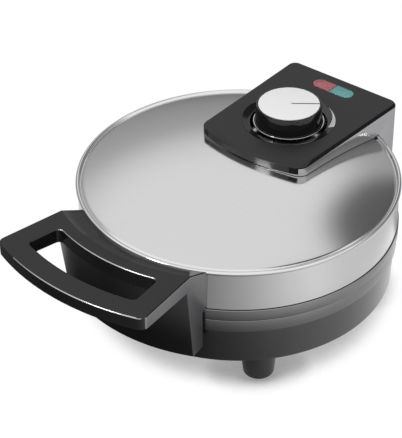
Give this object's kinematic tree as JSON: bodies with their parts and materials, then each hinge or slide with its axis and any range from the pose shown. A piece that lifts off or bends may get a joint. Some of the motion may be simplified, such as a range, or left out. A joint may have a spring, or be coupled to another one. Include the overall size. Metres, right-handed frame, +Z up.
{
  "type": "belgian waffle maker",
  "caption": "Round countertop waffle maker with a hinged steel lid, a front handle over a shield, a black control pod with a dial and lamps, and short feet.",
  "frame": {"origin": "on the table, under the middle of the bounding box", "axes": "+Z up, -Y towards the handle, +X to the right seen from the handle"},
  "size_m": [0.2376, 0.3216, 0.1343],
  "materials": {
    "black_satin": "fine satin",
    "black_gloss": "glossy",
    "charcoal_ring": "satin",
    "grey_ring": "satin",
    "steel": "finely brushed",
    "silver_paint": "silver paint",
    "chrome": "polished",
    "bright_disc": "fine satin",
    "cast_grid": "dark non-stick coat on cast aluminium",
    "plate": "plain sheet",
    "element_sheath": "heat-darkened",
    "zinc": "zinc plated",
    "ceramic": "unglazed",
    "gland": "matte",
    "red_lens": "translucent",
    "teal_lens": "translucent",
    "lamp_glass": "clear tube"
  },
  "bodies": {
    "base": {"base_shell": "black_satin", "base_ring": "grey_ring", "lower_grid": "cast_grid", "lower_heating_element": "element_sheath", "lower_reflector": "plate", "foot_front_left": "black_satin", "foot_front_right": "black_satin", "foot_rear_left": "black_satin", "foot_rear_right": "black_satin", "foot_screw_front_left": "zinc", "foot_screw_front_right": "zinc", "foot_screw_rear_left": "zinc", "foot_screw_rear_right": "zinc", "shell_screw_1": "zinc", "shell_screw_2": "zinc", "shell_screw_3": "zinc", "shell_screw_4": "zinc", "hinge_pin": "zinc", "hinge_clip_left": "zinc", "hinge_clip_right": "zinc", "cord_gland": "gland", "terminal_block": "ceramic"},
    "lid": {"lid_cover": "steel", "lid_ring": "charcoal_ring", "upper_grid": "cast_grid", "upper_heating_element": "element_sheath", "upper_reflector": "plate", "front_handle": "black_gloss", "handle_screw_left": "zinc", "handle_screw_right": "zinc", "hinge_arm": "black_satin", "arm_screw_left": "zinc", "arm_screw_right": "zinc", "control_housing": "silver_paint", "control_fascia": "black_satin", "fascia_screw_left": "zinc", "fascia_screw_right": "zinc", "thermostat": "plate", "lamp_holder": "ceramic", "lens_red": "red_lens", "lens_teal": "teal_lens", "glow_lamp_left": "lamp_glass", "glow_lamp_right": "lamp_glass"},
    "dial": {"dial_shaft": "zinc", "dial_knob": "black_gloss", "dial_trim": "chrome", "dial_cap": "bright_disc"}
  },
  "joints": [
    {"name": "lid_hinge", "type": "hinge", "parent": "base", "child": "lid", "pos_m": [0, 0.1538, 0.0662], "axis": [-1, 0, 0], "range_deg": [0, 95]},
    {"name": "dial_turn", "type": "hinge", "parent": "lid", "child": "dial", "pos_m": [0, 0.0886, 0.1188], "axis": [0, 0, 1], "range_deg": [-135, 135]}
  ]
}
